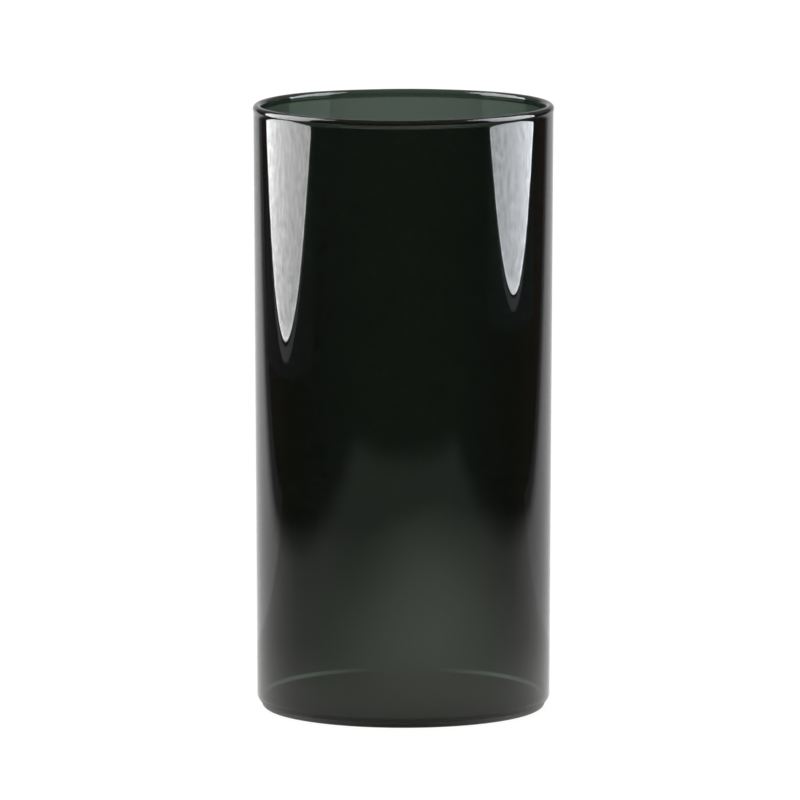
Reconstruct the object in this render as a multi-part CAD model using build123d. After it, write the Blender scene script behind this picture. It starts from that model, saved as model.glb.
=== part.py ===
from build123d import *
import math
import os

# A straight-sided vase of dark tinted glass, open at the top, standing on Z = 0 and centred on the Z axis.
# It is made of two pieces of glass. The tube's upper edge is melted into a thick, round bead, and its lower edge
# is turned inwards into a lip. The base disc closes the bottom: its plug is welded into the lip and its
# flange is the foot that the vase stands on. Lengths are in millimetres.

# Driving dimensions
height = 300.0              # from the table to the top of the rim
mouth_diameter = 147.6      # outside of the wall, carried up to the height of the rim
base_diameter = 144.6       # outside of the wall, carried down to the table
wall = 3.0                  # thickness of the tube's wall
rim_bead_out = 0.45         # how far the bead stands out past the outside of the wall
rim_bead_in = 0.85          # how far the bead stands in past the inside of the wall
rim_shoulder_radius = 6.0   # rounding under the bead, where it starts to run down into the wall
outer_neck_radius = 12.0    # hollow rounding where the bead has run down into the outside of the wall
inner_neck_radius = 6.0     # the same on the inside of the wall
heel_height = 6.9           # height at which the wall starts to turn in
foot_inset = 2.2            # how much smaller the foot is than the wall, on the radius
foot_height = 3.1           # height of the foot, up to the tube's lip
foot_land = 0.3             # upright strip of the foot between its rounded lower edge and the lip
floor_thickness = 5.5       # from the table to the inside floor
inner_corner_radius = 5.0   # inside, between the floor and the wall

# The wall leans out a little from the base to the mouth.
lean = math.atan((mouth_diameter - base_diameter) / 2 / height)


def outside_radius(z):
    """Radius of the wall's outside at height z."""
    return base_diameter / 2 + z * math.tan(lean)


# Sizes that follow from the driving dimensions
bead_radius = (wall + rim_bead_out + rim_bead_in) / 2
bead_z = height - bead_radius
down_wall = Vector(-math.sin(lean), -math.cos(lean))
across_wall = Vector(math.cos(lean), -math.sin(lean))
foot_radius = base_diameter / 2 - foot_inset
foot_edge_radius = foot_height - foot_land
corner_top = floor_thickness + inner_corner_radius * (1 - math.sin(lean))
plug_radius = outside_radius(corner_top) - wall - inner_corner_radius * math.cos(lean)


def spin(section):
    """The solid that a section, drawn as radius and height, makes when it turns about the Z axis."""
    return revolve(Plane.XZ * section, Axis.Z)


def run_down(start, stand, neck_radius, side):
    """Two arcs from the side of the bead down into the wall, which it stands out from by stand.

    side is 1 on the outside of the wall and -1 on the inside.
    """
    turn = math.degrees(math.acos(1 - stand / (rim_shoulder_radius + neck_radius)))
    shoulder = JernArc(start, down_wall, rim_shoulder_radius, -side * turn)
    neck = JernArc(shoulder @ 1, shoulder % 1, neck_radius, side * turn)
    return shoulder, neck


def glass_tube():
    """The wall: bead at the mouth, even lean, rounded heel, and a lip that ends at the disc's plug."""
    bead_centre = Vector(outside_radius(bead_z), bead_z) + across_wall * (rim_bead_out - bead_radius)
    bead_outside = bead_centre + across_wall * bead_radius
    bead_inside = bead_centre - across_wall * bead_radius
    bead = ThreePointArc(bead_outside, bead_centre - down_wall * bead_radius, bead_inside)
    outer_shoulder, outer_neck = run_down(bead_outside, rim_bead_out, outer_neck_radius, 1)
    inner_shoulder, inner_neck = run_down(bead_inside, rim_bead_in, inner_neck_radius, -1)
    heel_top = (outside_radius(heel_height), heel_height)
    heel_bottom = (foot_radius, foot_height)
    heel = TangentArc(heel_top, heel_bottom, tangent=down_wall)
    lip_inside = (plug_radius, floor_thickness)
    corner = JernArc(lip_inside, (1, 0), inner_corner_radius, 90 - math.degrees(lean))
    outer_wall = Line(outer_neck @ 1, heel_top)
    inner_wall = Line(inner_neck @ 1, corner @ 1)
    lip = Polyline(heel_bottom, (plug_radius, foot_height), lip_inside)
    outside = [bead, outer_shoulder, outer_neck, outer_wall, heel]
    inside = [lip, corner, inner_wall, inner_neck, inner_shoulder]
    return spin(make_face(outside + inside))


def base_disc():
    """The bottom: a flange that is the foot, with a plug on it that fills the tube's lip up to the floor."""
    section = make_face(
        Polyline(
            (0, 0),
            (foot_radius, 0),
            (foot_radius, foot_height),
            (plug_radius, foot_height),
            (plug_radius, floor_thickness),
            (0, floor_thickness),
            close=True,
        )
    )
    foot_edge = section.vertices().sort_by_distance((foot_radius, 0))[0]
    return spin(fillet(foot_edge, foot_edge_radius))


os.makedirs("parts", exist_ok=True)
export_step(glass_tube(), "parts/glass_tube.step")
export_step(base_disc(), "parts/base_disc.step")
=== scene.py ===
import math

import bpy
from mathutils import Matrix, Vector, noise


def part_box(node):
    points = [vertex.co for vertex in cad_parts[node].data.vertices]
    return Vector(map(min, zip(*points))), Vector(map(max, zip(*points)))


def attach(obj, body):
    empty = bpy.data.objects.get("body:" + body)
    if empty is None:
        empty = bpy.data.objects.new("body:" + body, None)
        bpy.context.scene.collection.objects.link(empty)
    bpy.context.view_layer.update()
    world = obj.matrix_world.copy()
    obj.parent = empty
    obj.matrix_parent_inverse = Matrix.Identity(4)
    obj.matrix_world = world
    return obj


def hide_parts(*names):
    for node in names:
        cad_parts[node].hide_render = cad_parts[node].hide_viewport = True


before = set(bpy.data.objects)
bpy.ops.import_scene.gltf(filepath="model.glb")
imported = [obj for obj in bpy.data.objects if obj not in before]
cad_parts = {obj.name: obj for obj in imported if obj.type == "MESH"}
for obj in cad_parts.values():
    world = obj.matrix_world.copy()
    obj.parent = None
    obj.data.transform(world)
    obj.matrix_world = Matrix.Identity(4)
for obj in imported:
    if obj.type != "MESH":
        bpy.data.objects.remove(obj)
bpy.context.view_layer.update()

# The camera. A long lens stands well back and looks down on the vase a little, so that the mouth shows as a
# narrow ellipse and the walls stay upright.
camera_distance = 5.435
camera_height = 0.890
camera_left = 0.0017
camera_tilt = math.radians(7.7241)
camera = bpy.data.objects.new("camera", bpy.data.cameras.new("camera"))
camera.data.lens = 500.0
camera.data.clip_end = 50.0
camera.location = (-camera_left, -camera_distance, camera_height)
camera.rotation_euler = (math.pi / 2 - camera_tilt, 0, 0)
bpy.context.scene.collection.objects.link(camera)
bpy.context.scene.camera = camera
bpy.context.scene.view_settings.view_transform = "Standard"

# The studio's air. Straight on, everything behind the vase is plain white. What the glass mirrors is a dim,
# brownish room that gets lighter and greyer towards its ceiling.
white = (1.0, 1.0, 1.0, 1.0)
room_colour = (0.055, 0.043, 0.038, 1.0)
ceiling_colour = (0.26, 0.26, 0.25, 1.0)
ceiling_start, ceiling_full = -0.05, 0.40


def feed(tree, socket, value):
    """Links a value to a socket if it is a socket itself, and otherwise sets it as the socket's own value."""
    if isinstance(value, bpy.types.NodeSocket):
        tree.links.new(value, socket)
    else:
        socket.default_value = value


def maths(tree, operation, *values):
    """A Math node's result. Each value is a number or a socket."""
    node = tree.nodes.new("ShaderNodeMath")
    node.operation = operation
    for socket, value in zip(node.inputs, values):
        feed(tree, socket, value)
    return node.outputs[0]


def smooth_step(tree, value, low, high):
    """0 where a value is below low, 1 where it is above high, smooth between. low may be above high."""
    node = tree.nodes.new("ShaderNodeMapRange")
    node.interpolation_type = "SMOOTHSTEP"
    flipped = low > high
    tree.links.new(value, node.inputs["Value"])
    node.inputs["From Min"].default_value = min(low, high)
    node.inputs["From Max"].default_value = max(low, high)
    node.inputs["To Min"].default_value = 1.0 if flipped else 0.0
    node.inputs["To Max"].default_value = 0.0 if flipped else 1.0
    return node.outputs["Result"]


def blend(tree, share, first, second):
    """A colour between two others, as far towards the second as the share says."""
    node = tree.nodes.new("ShaderNodeMix")
    node.data_type = "RGBA"
    feed(tree, node.inputs["Factor"], share)
    feed(tree, node.inputs["A"], first)
    feed(tree, node.inputs["B"], second)
    return node.outputs["Result"]


def coordinates(tree, kind="Object"):
    """A point's coordinates as one vector, and then its X, Y and Z."""
    spot = tree.nodes.new("ShaderNodeTexCoord").outputs[kind]
    parts = tree.nodes.new("ShaderNodeSeparateXYZ")
    tree.links.new(spot, parts.inputs[0])
    return spot, parts.outputs["X"], parts.outputs["Y"], parts.outputs["Z"]


def mirrored_path(tree):
    """1 on paths that the glass has mirrored, and 0 on those that run straight or only through the glass."""
    path = tree.nodes.new("ShaderNodeLightPath")
    return maths(tree, "GREATER_THAN", path.outputs["Glossy Depth"], 0.5)


studio = bpy.data.worlds.new("studio")
bpy.context.scene.world = studio
studio.use_nodes = True
air = studio.node_tree
upward = coordinates(air, "Generated")[3]
room = blend(air, smooth_step(air, upward, ceiling_start, ceiling_full), room_colour, ceiling_colour)
background = air.nodes["Background"]
air.links.new(blend(air, mirrored_path(air), white, room), background.inputs["Color"])
background.inputs["Strength"].default_value = 1.0

# The floor. A sheet of white paper on a grey table, overlit so that the vase leaves no shadow in front of it.
# Only where the foot stands does the glass mirror a shadow. Beyond the table it mirrors the dim room. What is
# seen through both walls of the vase is a little dimmer than what is seen past it.
floor_reach = 12.0
floor_drop = 0.0002
paper_middle = 0.02
paper_side = 0.63
side_blur_in, side_blur_out = 0.09, 0.11
paper_front = -0.77
paper_front_bow = 0.35
paper_front_blur = 0.015
table_front = -0.97
table_blur_front, table_blur_back = 0.06, 0.10
straight_light = 0.95
light_through_vase = 0.80
two_walls_depth = 2.5
matt_grey = (0.09, 0.09, 0.09, 1.0)
room_light = (0.048, 0.036, 0.031, 1.0)
room_light_gain_behind = 0.3
behind_start, behind_full = -0.2, 0.4
front_tint = (0.94, 1.02, 0.89, 1.0)
front_tint_end, neutral_start = -0.16, 0.06


def stage_mesh(name, vertices, faces, material):
    """A mesh of the stage, which isn't part of the vase."""
    mesh = bpy.data.meshes.new(name)
    mesh.from_pydata(vertices, [], faces)
    mesh.materials.append(material)
    made = bpy.data.objects.new(name, mesh)
    bpy.context.scene.collection.objects.link(made)
    return made


def stage_material(name):
    """An empty material for the stage."""
    material = bpy.data.materials.new(name)
    material.use_nodes = True
    material.node_tree.nodes.clear()
    return material


def glow(tree, colour, strength):
    """A plain light of a colour and a strength, each a value or a socket."""
    node = tree.nodes.new("ShaderNodeEmission")
    feed(tree, node.inputs["Color"], colour)
    feed(tree, node.inputs["Strength"], strength)
    return node.outputs[0]


def added(tree, first, second):
    """Two shaders added up."""
    node = tree.nodes.new("ShaderNodeAddShader")
    tree.links.new(first, node.inputs[0])
    tree.links.new(second, node.inputs[1])
    return node.outputs[0]


def show(tree, straight, mirrored):
    """Shows one shader straight on or through the glass, and another to paths that the glass has mirrored."""
    choice = tree.nodes.new("ShaderNodeMixShader")
    tree.links.new(mirrored_path(tree), choice.inputs["Fac"])
    tree.links.new(straight, choice.inputs[1])
    tree.links.new(mirrored, choice.inputs[2])
    out = tree.nodes.new("ShaderNodeOutputMaterial")
    tree.links.new(choice.outputs[0], out.inputs["Surface"])


def paper_width(tree, across):
    """How far a point lies from the paper's middle, and a mask that is 1 on the paper and 0 beside it."""
    away = maths(tree, "ABSOLUTE", maths(tree, "SUBTRACT", across, paper_middle))
    return away, smooth_step(tree, away, paper_side + side_blur_out, paper_side - side_blur_in)


def distance_from(tree, spot, centre):
    """How far a point is from a centre."""
    node = tree.nodes.new("ShaderNodeVectorMath")
    node.operation = "DISTANCE"
    tree.links.new(spot, node.inputs[0])
    node.inputs[1].default_value = centre
    return node.outputs["Value"]


floor_material = stage_material("floor")
tree = floor_material.node_tree
spot, across, along, _ = coordinates(tree)
across2 = maths(tree, "MULTIPLY", across, across)
_, on_width = paper_width(tree, across)
bowed = maths(tree, "SUBTRACT", along, maths(tree, "MULTIPLY", across2, paper_front_bow))
past_front = smooth_step(tree, bowed, paper_front - paper_front_blur, paper_front + paper_front_blur)
on_paper = maths(tree, "MULTIPLY", on_width, past_front)
past_table_front = smooth_step(tree, bowed, table_front - table_blur_front, table_front + table_blur_back)
on_table = maths(tree, "MULTIPLY", on_width, past_table_front)

# The light on the paper is brightest just in front of the vase, even behind it, and weaker to the sides and
# to the front. A little more of it falls close beside the vase.
least_paper_light = 0.60
hot_place = (0.13, -0.38, 0.0)
hot_reach = 0.55
hot_light = 0.66
even_light = 0.33
even_start, even_full = -0.1, 0.4
front_loss = 0.92
front_loss_start = -0.3
side_loss = 0.65
beside_light = 0.22
beside_reach, beside_full = 0.30, 0.14
table_light = 0.24
near_hot = smooth_step(tree, distance_from(tree, spot, hot_place), hot_reach, 0.0)
behind_front = smooth_step(tree, along, even_start, even_full)
far_front = maths(tree, "MINIMUM", maths(tree, "SUBTRACT", along, front_loss_start), 0.0)
from_axis = distance_from(tree, spot, (0.0, 0.0, 0.0))
sideways = maths(tree, "DIVIDE", across2, maths(tree, "MULTIPLY", from_axis, from_axis))
beside = maths(tree, "MULTIPLY", sideways, smooth_step(tree, from_axis, beside_reach, beside_full))
paper_light = least_paper_light
for part in (maths(tree, "MULTIPLY", near_hot, hot_light),
             maths(tree, "MULTIPLY", behind_front, even_light),
             maths(tree, "MULTIPLY", far_front, front_loss),
             maths(tree, "MULTIPLY", across2, -side_loss),
             maths(tree, "MULTIPLY", beside, beside_light)):
    paper_light = maths(tree, "ADD", part, paper_light)

# The shadow that the foot stands in.
shadow_light = 0.38
shadow_start, shadow_end = 0.0705, 0.0800
shadow = tree.nodes.new("ShaderNodeMapRange")
shadow.interpolation_type = "SMOOTHERSTEP"
tree.links.new(from_axis, shadow.inputs["Value"])
shadow.inputs["From Min"].default_value = shadow_start
shadow.inputs["From Max"].default_value = shadow_end
shadow.inputs["To Min"].default_value = shadow_light
paper_light = maths(tree, "MULTIPLY", paper_light, shadow.outputs["Result"])

light = maths(tree, "MAXIMUM",
              maths(tree, "MULTIPLY", on_paper, paper_light),
              maths(tree, "MULTIPLY", on_table, table_light))
tint = blend(tree, smooth_step(tree, along, front_tint_end, neutral_start), front_tint, white)
behind = smooth_step(tree, along, behind_start, behind_full)
room_strength = maths(tree, "MULTIPLY_ADD", behind, room_light_gain_behind, 1.0)
mirrored_floor = added(tree, glow(tree, tint, light), glow(tree, room_light, room_strength))
path = tree.nodes.new("ShaderNodeLightPath")
through_both = maths(tree, "GREATER_THAN", path.outputs["Transmission Depth"], two_walls_depth)
seen_light = maths(tree, "MULTIPLY_ADD", through_both, light_through_vase - straight_light, straight_light)
matt = tree.nodes.new("ShaderNodeBsdfDiffuse")
matt.inputs["Color"].default_value = matt_grey
show(tree, added(tree, glow(tree, white, seen_light), matt.outputs[0]), mirrored_floor)
corners = [(x * floor_reach, y * floor_reach, -floor_drop) for x, y in ((-1, -1), (1, -1), (1, 1), (-1, 1))]
stage_mesh("floor", corners, [(0, 1, 2, 3)], floor_material)

# The backdrop. Behind the vase the paper sweeps up in a wide, slow curve. It is as white as the air behind
# it, so it shows only in what the glass mirrors. It is dimmer higher up and towards its edges.
sweep_start = 0.20
sweep_radius = 1.20
sweep_half_width = 0.76
sweep_steps = 24
sweep_light = 0.97
sweep_edge_loss = 0.35
sweep_right_loss = 0.18
sweep_height_loss = 0.9
sweep_most_height_loss = 0.42
sweep_least_light = 0.14
backdrop_material = stage_material("backdrop")
tree = backdrop_material.node_tree
_, across, _, up = coordinates(tree)
away, on_width = paper_width(tree, across)
light = maths(tree, "MULTIPLY_ADD", maths(tree, "MULTIPLY", away, away), -sweep_edge_loss, sweep_light)
light = maths(tree, "MULTIPLY_ADD", across, -sweep_right_loss, light)
dimmer = maths(tree, "MINIMUM", maths(tree, "MULTIPLY", up, sweep_height_loss), sweep_most_height_loss)
light = maths(tree, "MULTIPLY", on_width, maths(tree, "SUBTRACT", light, dimmer))
light = maths(tree, "MAXIMUM", light, sweep_least_light)
clear = tree.nodes.new("ShaderNodeBsdfTransparent").outputs[0]
show(tree, clear, glow(tree, white, light))
rows = []
for i in range(sweep_steps + 1):
    turn = math.pi / 2 * i / sweep_steps
    y = sweep_start + sweep_radius * math.sin(turn)
    z = sweep_radius * (1 - math.cos(turn))
    rows += [(-sweep_half_width, y, z), (sweep_half_width, y, z)]
strips = [(2 * i, 2 * i + 1, 2 * i + 3, 2 * i + 2) for i in range(sweep_steps)]
stage_mesh("backdrop", rows, strips, backdrop_material)

# The softboxes. One stands close on each side of the vase, out of view. Each is a bright, slightly creased
# cloth panel that narrows to a round tip below. A dimly lit rim runs round it, past a thin dark line.
softbox_distance = 0.51
softbox_top = 1.05
softbox_margin = 0.02
cloth_blur = 0.004
hem_start, hem_full = 0.955, 0.99
hem_gain = 0.36
hem_base = 0.94
crease_scale = (30.0, 1.0, 200.0)
crease_depth = 1.2
lift_height = 0.10
rim_start, rim_full, rim_fade, rim_end = 1.008, 1.016, 1.048, 1.060
rim_light = 0.5
surround_light = 0.08


def between(tree, value, low, low_full, high_full, high):
    """1 between the two full values, 0 below low and above high, and smooth steps at both ends."""
    return maths(tree, "MULTIPLY", smooth_step(tree, value, low, low_full),
                 smooth_step(tree, value, high, high_full))


def soft_noise(tree, spot, scale, detail):
    """Smooth noise from 0 to 1, at a scale along each axis in features per metre."""
    stretch = tree.nodes.new("ShaderNodeMapping")
    stretch.inputs["Scale"].default_value = scale
    tree.links.new(spot, stretch.inputs["Vector"])
    texture = tree.nodes.new("ShaderNodeTexNoise")
    texture.inputs["Scale"].default_value = 1.0
    texture.inputs["Detail"].default_value = detail
    tree.links.new(stretch.outputs[0], texture.inputs["Vector"])
    return texture.outputs["Fac"]


def softbox(name, azimuth, half_width, bottom, tip_height, strength, colour, outward_gain, low_gain):
    """A softbox that faces the vase, at an azimuth of 0 towards the camera and 90 to its right."""
    material = stage_material(name)
    tree = material.node_tree
    spot, across, _, up = coordinates(tree)
    # The outline is where this is 1. It is upright at the sides and narrows to a parabola below.
    reach = maths(tree, "DIVIDE", across, half_width)
    drop = maths(tree, "DIVIDE", maths(tree, "SUBTRACT", bottom + tip_height, up), tip_height)
    drop = maths(tree, "MAXIMUM", drop, 0.0)
    outline = maths(tree, "SQRT", maths(tree, "ADD", maths(tree, "MULTIPLY", reach, reach), drop))
    cloth = smooth_step(tree, outline, 1 + cloth_blur, 1 - cloth_blur)
    rim = between(tree, outline, rim_start, rim_full, rim_fade, rim_end)
    creases = soft_noise(tree, spot, crease_scale, 3.0)
    lift = tree.nodes.new("ShaderNodeMapRange")
    tree.links.new(up, lift.inputs["Value"])
    lift.inputs["From Min"].default_value = bottom
    lift.inputs["From Max"].default_value = bottom + lift_height
    lift.inputs["To Min"].default_value = 1.0 + low_gain
    lift.inputs["To Max"].default_value = 1.0
    in_hem = smooth_step(tree, outline, hem_start, hem_full)
    power = strength
    for part in (maths(tree, "MULTIPLY_ADD", creases, crease_depth, 1 - crease_depth / 2),
                 maths(tree, "MULTIPLY_ADD", in_hem, hem_gain, hem_base),
                 maths(tree, "MULTIPLY_ADD", reach, outward_gain, 1.0),
                 lift.outputs["Result"],
                 cloth):
        power = maths(tree, "MULTIPLY", part, power)
    power = maths(tree, "ADD", power, maths(tree, "MULTIPLY", rim, rim_light))
    power = maths(tree, "MAXIMUM", power, surround_light)
    clear = tree.nodes.new("ShaderNodeBsdfTransparent").outputs[0]
    show(tree, clear, glow(tree, colour, power))
    side = half_width + softbox_margin
    low, high = bottom - softbox_margin, softbox_top + softbox_margin
    panel = stage_mesh(name, [(-side, 0, low), (side, 0, low), (side, 0, high), (-side, 0, high)],
                       [(0, 1, 2, 3)], material)
    turn = math.radians(azimuth)
    panel.location = (math.sin(turn) * softbox_distance, -math.cos(turn) * softbox_distance, 0)
    panel.rotation_euler = (0, 0, turn)


softbox("softbox_left", azimuth=-98, half_width=0.253, bottom=0.1245, tip_height=0.106,
        strength=8.3, colour=white, outward_gain=-0.06, low_gain=-0.16)
softbox("softbox_right", azimuth=89, half_width=0.219, bottom=0.1505, tip_height=0.083,
        strength=8.9, colour=(0.97, 1.0, 1.05, 1.0), outward_gain=0.14, low_gain=-0.04)

# The vase. Tinted glass blown and drawn into a straight tube, its edge fire-polished into a bead, its heel
# turned in and welded to a pressed base disc. The weld melts the two into one, so they are one piece of glass
# here. It is a little uneven: the rim isn't quite level, and the inside of the wall is softly rippled.
tube_low, tube_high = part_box("glass_tube")
disc_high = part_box("base_disc")[1]
rim_z = tube_high.z
lip_z = tube_low.z
floor_z = disc_high.z
foot_radius = disc_high.x
within_box = 0.00004
bead_reach = min(tube_high.x, -tube_low.x) - within_box
wall = 0.0030
heel_step = 0.0022
base_wall_radius = foot_radius + heel_step
heel_z = 0.0069
foot_land = 0.0003
inner_corner = 0.0050
bead_out = 0.00034
bead_in = 0.00085
outer_band, outer_shoulder, outer_neck = 0.0, 0.0024, 0.0090
inner_band, inner_shoulder, inner_neck = 0.0011, 0.0007, 0.0007
bead_radius = (wall + bead_out + bead_in) / 2
bead_centre = bead_reach - bead_radius
bead_z = rim_z - bead_radius
slope = (bead_reach - bead_out - base_wall_radius) / bead_z
lean = math.degrees(math.atan(slope))


def outside(z):
    """Radius of the wall's outside at height z."""
    return base_wall_radius + z * slope


def arc(centre, radius, start, end, steps):
    """Points along an arc, as (radius, height), with angles in degrees from straight out."""
    angles = [math.radians(start + (end - start) * i / steps) for i in range(steps + 1)]
    return [(centre[0] + radius * math.cos(a), centre[1] + radius * math.sin(a)) for a in angles]


def run(start, end, steps, ends=0.0004):
    """Points along a straight line, with one close to each end so that the shading turns only there."""
    start, end = Vector((*start, 0)), Vector((*end, 0))
    length = (end - start).length
    shares = [0, ends / length] + [i / steps for i in range(1, steps)] + [1 - ends / length, 1]
    return [tuple(start.lerp(end, s).xy) for s in shares]


def along_bead(distance, angle, below=0.0):
    """The point at a distance from the bead's centre, or from below it, at an angle from straight out."""
    a = math.radians(angle)
    tilt = math.radians(lean)
    out = distance * math.cos(a) - below * math.sin(tilt)
    up = distance * math.sin(a) - below * math.cos(tilt)
    return bead_centre + out, bead_z + up


def run_down(stand, band, shoulder, neck, side):
    """Points from the side of the bead down a straight band and into the wall, which it stands out from.

    side is 1 on the outside of the wall and -1 on the inside.
    """
    turn = math.degrees(math.acos(1 - stand / (shoulder + neck)))
    level = -lean if side > 0 else 180 - lean
    shoulder_centre = along_bead(bead_radius - shoulder, level, band)
    points = [along_bead(bead_radius, level)] if band else []
    points += arc(shoulder_centre, shoulder, level, level - side * turn, 10)
    away = math.radians(level - side * turn)
    reach = shoulder + neck
    neck_centre = (shoulder_centre[0] + reach * math.cos(away), shoulder_centre[1] + reach * math.sin(away))
    return points + arc(neck_centre, neck, level - side * turn + 180, level + 180, 10)[1:]


def glass_outline():
    """The section from the underside's middle, round the outside and the rim, to the floor's middle."""
    foot_edge = lip_z - foot_land
    points = run((0, 0), (foot_radius - foot_edge, 0), 8)
    points += arc((foot_radius - foot_edge, foot_edge), foot_edge, -90, 0, 10)[1:]
    # The heel's curve meets the foot at the lip and runs up into the wall.
    rise, inset = heel_z - lip_z, outside(heel_z) - foot_radius
    heel_radius = (rise ** 2 + inset ** 2) / (2 * inset)
    start = -math.degrees(math.asin(rise / heel_radius))
    points += arc((outside(heel_z) - heel_radius, heel_z), heel_radius, start, 0, 12)
    outer = run_down(bead_out, outer_band, outer_shoulder, outer_neck, 1)
    inner = run_down(bead_in, inner_band, inner_shoulder, inner_neck, -1)
    points += run(points.pop(), outer[-1], 40)
    points += outer[-2::-1]
    points += arc((bead_centre, bead_z), bead_radius, -lean, 180 - lean, 32)[1:]
    points += inner[1:]
    corner_z = floor_z + inner_corner
    corner_r = outside(corner_z) - wall - inner_corner
    points += run(points.pop(), (outside(corner_z) - wall, corner_z), 40)
    points += arc((corner_r, corner_z), inner_corner, 0, -90, 14)[1:]
    points += run(points.pop(), (0, floor_z), 8)
    return points


rim_tilt, rim_saddle, rim_wobble = 0.00008, 0.00027, 0.00012
uneven_depth = 0.040
wall_ripple, skin_ripple = 0.00007, 0.000015
ripple_fade_low, ripple_fade_high = 0.02, 0.01


def turned_glass(name, outline, turns):
    """A closed mesh: the section turned about the Z axis, with the unevenness of blown glass."""
    vertices, faces = [], []
    for r, z in outline:
        if r < 1e-6:
            vertices.append((0, 0, z))
            continue
        inside_wall = r < outside(z) - wall / 2 and z > floor_z
        ripple = wall_ripple if inside_wall else skin_ripple
        near_rim = max(0.0, 1 - (rim_z - z) / uneven_depth) ** 2
        fade = min(1.0, max(0.0, (z - heel_z) / ripple_fade_low))
        fade *= min(1.0, max(0.0, (rim_z - z) / ripple_fade_high))
        for k in range(turns):
            a = 2 * math.pi * k / turns
            x, y = math.cos(a), math.sin(a)
            uneven = rim_tilt * (x - 1) - rim_saddle * y ** 4
            uneven += rim_wobble * (noise.noise((2 * x, 2 * y, 7.0)) - 0.6)
            swell = ripple * fade * noise.noise((3.0 * x, 3.0 * y, 12.0 * z + 3.0))
            vertices.append(((r + swell) * x, (r + swell) * y, z + near_rim * uneven))
    rings = len(outline) - 2
    last = 1 + (rings - 1) * turns
    for k in range(turns):
        n = (k + 1) % turns
        faces.append((0, 1 + n, 1 + k))
        for a in range(1, last, turns):
            b = a + turns
            faces.append((a + k, a + n, b + n, b + k))
        faces.append((last + k, last + n, len(vertices) - 1))
    mesh = bpy.data.meshes.new(name)
    mesh.from_pydata(vertices, [], faces)
    mesh.shade_smooth()
    return mesh


# The skin of blown glass: faint upright streaks from drawing the tube, a soft orange peel, and a few specks
# of
# dust and seed. It also paints a glow in: a ring round the floor at the welded seam, and a fainter one at the
# foot.
streak_scale = (160, 160, 5)
streak_shade = 0.93
streak_height = 0.000008
peel_scale = (60, 60, 35)
peel_height = 0.000025
speck_scale = 170.0
speck_rarity = 0.95
speck_edge, speck_middle = 0.050, 0.020
speck_shade = 0.30
speck_roughness = 0.12
speck_height = 0.000004
# Where the painted glow lies, and how bright it is.
seam_heights = (0.0008, 0.0019, 0.0023, 0.0036)
seam_margin = 0.0001
sideways_gain = 1.6
most_sideways = 0.90
foot_glow_start, foot_glow_full, foot_glow_fade = 0.0004, 0.0012, 0.0006
foot_glow = 0.050
skin = bpy.data.node_groups.new("blown_glass_skin_and_glow", "ShaderNodeTree")
for output, kind in (("Color", "NodeSocketColor"), ("Roughness", "NodeSocketFloat"),
                     ("Emission", "NodeSocketFloat"), ("Height", "NodeSocketFloat")):
    skin.interface.new_socket(output, in_out="OUTPUT", socket_type=kind)
given = skin.nodes.new("NodeGroupOutput")
spot, across, along, up = coordinates(skin)
streaks = soft_noise(skin, spot, streak_scale, 2.0)
peel = soft_noise(skin, spot, peel_scale, 1.0)
cells = skin.nodes.new("ShaderNodeTexVoronoi")
cells.inputs["Scale"].default_value = speck_scale
skin.links.new(spot, cells.inputs["Vector"])
pick = skin.nodes.new("ShaderNodeSeparateColor")
skin.links.new(cells.outputs["Color"], pick.inputs[0])
few = maths(skin, "GREATER_THAN", pick.outputs["Red"], speck_rarity)
specks = maths(skin, "MULTIPLY", few, smooth_step(skin, cells.outputs["Distance"], speck_edge, speck_middle))
shade = skin.nodes.new("ShaderNodeMapRange")
skin.links.new(streaks, shade.inputs["Value"])
shade.inputs["To Min"].default_value = streak_shade
shade.inputs["To Max"].default_value = 1.0
clean = maths(skin, "MULTIPLY_ADD", specks, -speck_shade, shade.outputs["Result"])
grey = skin.nodes.new("ShaderNodeCombineColor")
for channel in ("Red", "Green", "Blue"):
    skin.links.new(clean, grey.inputs[channel])
skin.links.new(grey.outputs[0], given.inputs["Color"])
skin.links.new(maths(skin, "MULTIPLY", specks, speck_roughness), given.inputs["Roughness"])
height = maths(skin, "MULTIPLY_ADD", peel, peel_height, maths(skin, "MULTIPLY", streaks, streak_height))
skin.links.new(maths(skin, "MULTIPLY_ADD", specks, speck_height, height), given.inputs["Height"])
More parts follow.
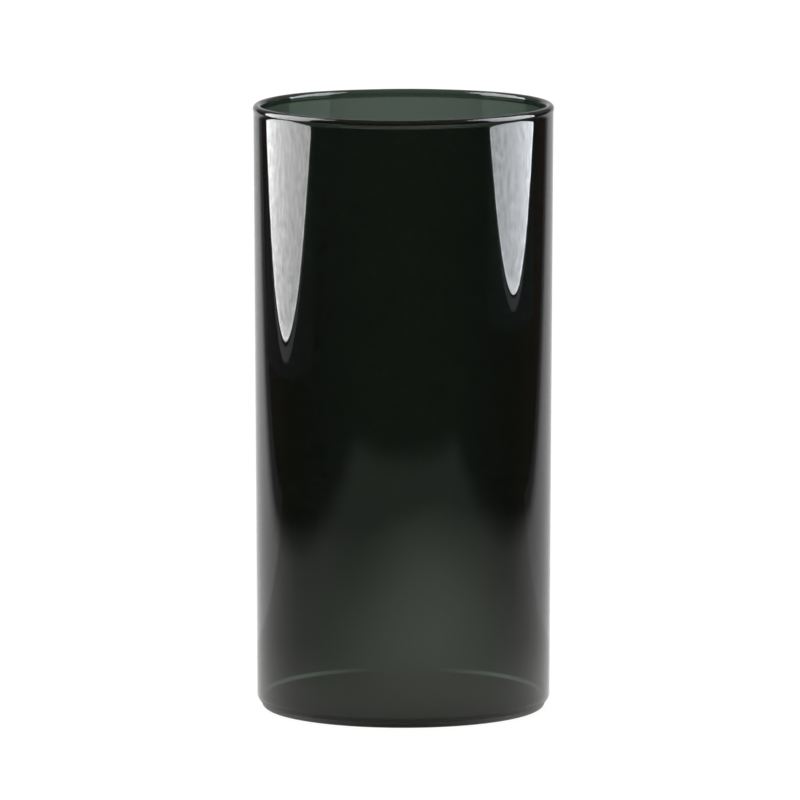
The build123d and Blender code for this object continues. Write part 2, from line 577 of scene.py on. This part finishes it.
# Painted glow: a thin ring in the inner corner along the seam, brightest at the sides. The foot's edge has a
# fainter one.
across2 = maths(skin, "MULTIPLY", across, across)
reach2 = maths(skin, "ADD", across2, maths(skin, "MULTIPLY", along, along))
inside_foot = maths(skin, "LESS_THAN", reach2, (foot_radius + seam_margin) ** 2)
sideways = maths(skin, "MULTIPLY", maths(skin, "DIVIDE", across2, reach2), sideways_gain)
sideways = maths(skin, "MINIMUM", sideways, most_sideways)
seam_glow = maths(skin, "MULTIPLY", between(skin, up, *[floor_z + z for z in seam_heights]), inside_foot)
foot_edge = between(skin, up, foot_glow_start, foot_glow_full, lip_z - foot_glow_fade, lip_z)
foot_edge = maths(skin, "MULTIPLY", foot_edge, foot_glow)
painted_glow = maths(skin, "MULTIPLY", maths(skin, "ADD", seam_glow, foot_edge), sideways)
skin.links.new(painted_glow, given.inputs["Emission"])

# The glass itself: clear, and dark grey-green right through. The tint is worked out from the shares of red,
# green and blue that one wall lets through. The painted glow of the seam shows only from outside, and isn't
# mirrored.
wall_passes = (0.074, 0.097, 0.081)
stain_room = 1.15
glass = bpy.data.materials.new("smoked_glass")
glass.use_nodes = True
glass.cycles.emission_sampling = "NONE"
tree = glass.node_tree
body = tree.nodes["Principled BSDF"]
body.inputs["Transmission Weight"].default_value = 1.0
body.inputs["IOR"].default_value = 1.5
body.inputs["Emission Strength"].default_value = 1.0
looks = tree.nodes.new("ShaderNodeGroup")
looks.node_tree = skin
tree.links.new(looks.outputs["Color"], body.inputs["Base Color"])
tree.links.new(looks.outputs["Roughness"], body.inputs["Roughness"])
relief = tree.nodes.new("ShaderNodeBump")
relief.inputs["Distance"].default_value = 1.0
tree.links.new(looks.outputs["Height"], relief.inputs["Height"])
tree.links.new(relief.outputs["Normal"], body.inputs["Normal"])
# The painted glow goes into the emission, only on the outside and on paths that aren't mirrored.
from_inside = tree.nodes.new("ShaderNodeNewGeometry").outputs["Backfacing"]
from_air = maths(tree, "SUBTRACT", 1.0, from_inside)
from_air = maths(tree, "MULTIPLY", from_air, maths(tree, "SUBTRACT", 1.0, mirrored_path(tree)))
tree.links.new(maths(tree, "MULTIPLY", looks.outputs["Emission"], from_air), body.inputs["Emission Color"])
stain = tree.nodes.new("ShaderNodeVolumeAbsorption")
takes = [-math.log(share) / wall for share in wall_passes]
density = stain_room * max(takes)
stain.inputs["Density"].default_value = density
stain.inputs["Color"].default_value = (*[1 - taken / density for taken in takes], 1)
tree.links.new(stain.outputs[0], tree.nodes["Material Output"].inputs["Volume"])

vase_mesh = turned_glass("vase_glass", glass_outline(), 256)
vase_mesh.materials.append(glass)
vase = bpy.data.objects.new("vase_glass", vase_mesh)
bpy.context.scene.collection.objects.link(vase)
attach(vase, "root")
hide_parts("glass_tube", "base_disc")
